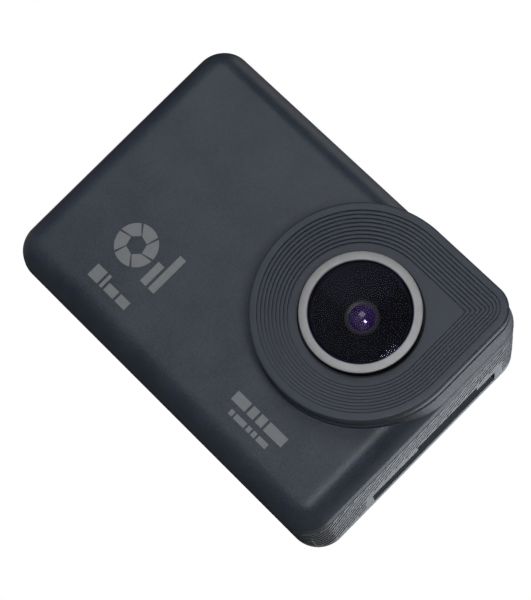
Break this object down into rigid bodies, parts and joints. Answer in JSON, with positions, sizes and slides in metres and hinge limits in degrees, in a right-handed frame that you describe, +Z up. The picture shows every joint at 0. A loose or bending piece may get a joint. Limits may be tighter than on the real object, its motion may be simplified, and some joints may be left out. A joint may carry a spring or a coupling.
{
  "type": "action camera",
  "caption": "Compact box-shaped action camera with a grooved teardrop lens bezel, a rear screen, ribbed sides, a side port bay, push keys and a hinged battery door.",
  "frame": {"origin": "middle of the bottom of the overall box, on the plane the camera stands on", "axes": "+X to the viewer's right when facing the lens, along the width; +Y from the lens to the screen; +Z up"},
  "size_m": [0.06, 0.03, 0.044],
  "materials": {
    "cover_plastic": "fine satin texture, dark blue grey",
    "bezel_plastic": "satin, dark blue grey, fine turned grooves",
    "frame_plastic": "matte, mid grey, ribbed sides",
    "black_plastic": "matte black",
    "ring_metal": "fine bead-blasted, anodised light grey",
    "optical_glass": "coated, glossy",
    "silicon": "glossy, dark iridescent",
    "circuit_board": "green solder mask",
    "chip_black": "moulded epoxy",
    "seal_rubber": "soft matte",
    "foam": "closed-cell foam",
    "battery_wrap": "satin film",
    "contact_gold": "gold plated",
    "steel": "bright tinned",
    "key_plastic": "satin",
    "light_pipe": "translucent",
    "screen_glass": "black-backed, glossy",
    "insert_brass": "turned"
  },
  "bodies": {
    "camera_body": {"front_cover": "cover_plastic", "lens_bezel": "bezel_plastic", "body_frame": "frame_plastic", "rear_cover": "black_plastic", "lens_baffle": "black_plastic", "lens_barrel": "black_plastic", "lens_holder": "black_plastic", "battery_tray": "black_plastic", "speaker": "black_plastic", "wifi_antenna": "black_plastic", "lens_ring": "ring_metal", "front_glass": "optical_glass", "inner_element": "optical_glass", "rear_elements": "optical_glass", "ir_filter": "optical_glass", "image_sensor": "silicon", "sensor_board": "circuit_board", "main_board": "circuit_board", "port_board": "circuit_board", "button_board": "circuit_board", "processor": "chip_black", "memory_chips": "chip_black", "microphone": "chip_black", "lens_seal": "seal_rubber", "screen_gasket": "foam", "battery": "battery_wrap", "battery_contacts": "contact_gold", "door_hinge_pin": "steel", "usb_port": "steel", "hdmi_port": "steel", "card_socket": "steel", "wifi_module": "steel", "tact_switches": "steel", "case_screws": "steel", "display_module": "steel", "status_light": "light_pipe", "screen_glass": "screen_glass", "tripod_insert": "insert_brass"},
    "battery_door": {"battery_door": "frame_plastic", "battery_pad": "foam"},
    "door_latch": {"door_latch": "black_plastic"},
    "shutter_button": {"shutter_button": "key_plastic"},
    "power_button": {"power_button": "key_plastic"},
    "up_key": {"up_key": "key_plastic"},
    "down_key": {"down_key": "key_plastic"}
  },
  "joints": [
    {"name": "door_hinge", "type": "hinge", "parent": "camera_body", "child": "battery_door", "pos_m": [-0.0262, 0.00392, 0.0017], "axis": [0, 1, 0], "range_deg": [0, 95]},
    {"name": "latch_slide", "type": "slide", "parent": "battery_door", "child": "door_latch", "axis": [-1, 0, 0], "range_m": [0, 0.0015]},
    {"name": "shutter_press", "type": "slide", "parent": "camera_body", "child": "shutter_button", "axis": [0, 0, -1], "range_m": [0, 0.0004], "stiffness_N_per_m": 1000},
    {"name": "power_press", "type": "slide", "parent": "camera_body", "child": "power_button", "axis": [0, 0, -1], "range_m": [0, 0.0004], "stiffness_N_per_m": 1000},
    {"name": "up_press", "type": "slide", "parent": "camera_body", "child": "up_key", "axis": [1, 0, 0], "range_m": [0, 0.0004], "stiffness_N_per_m": 1000},
    {"name": "down_press", "type": "slide", "parent": "camera_body", "child": "down_key", "axis": [1, 0, 0], "range_m": [0, 0.0004], "stiffness_N_per_m": 1000}
  ]
}
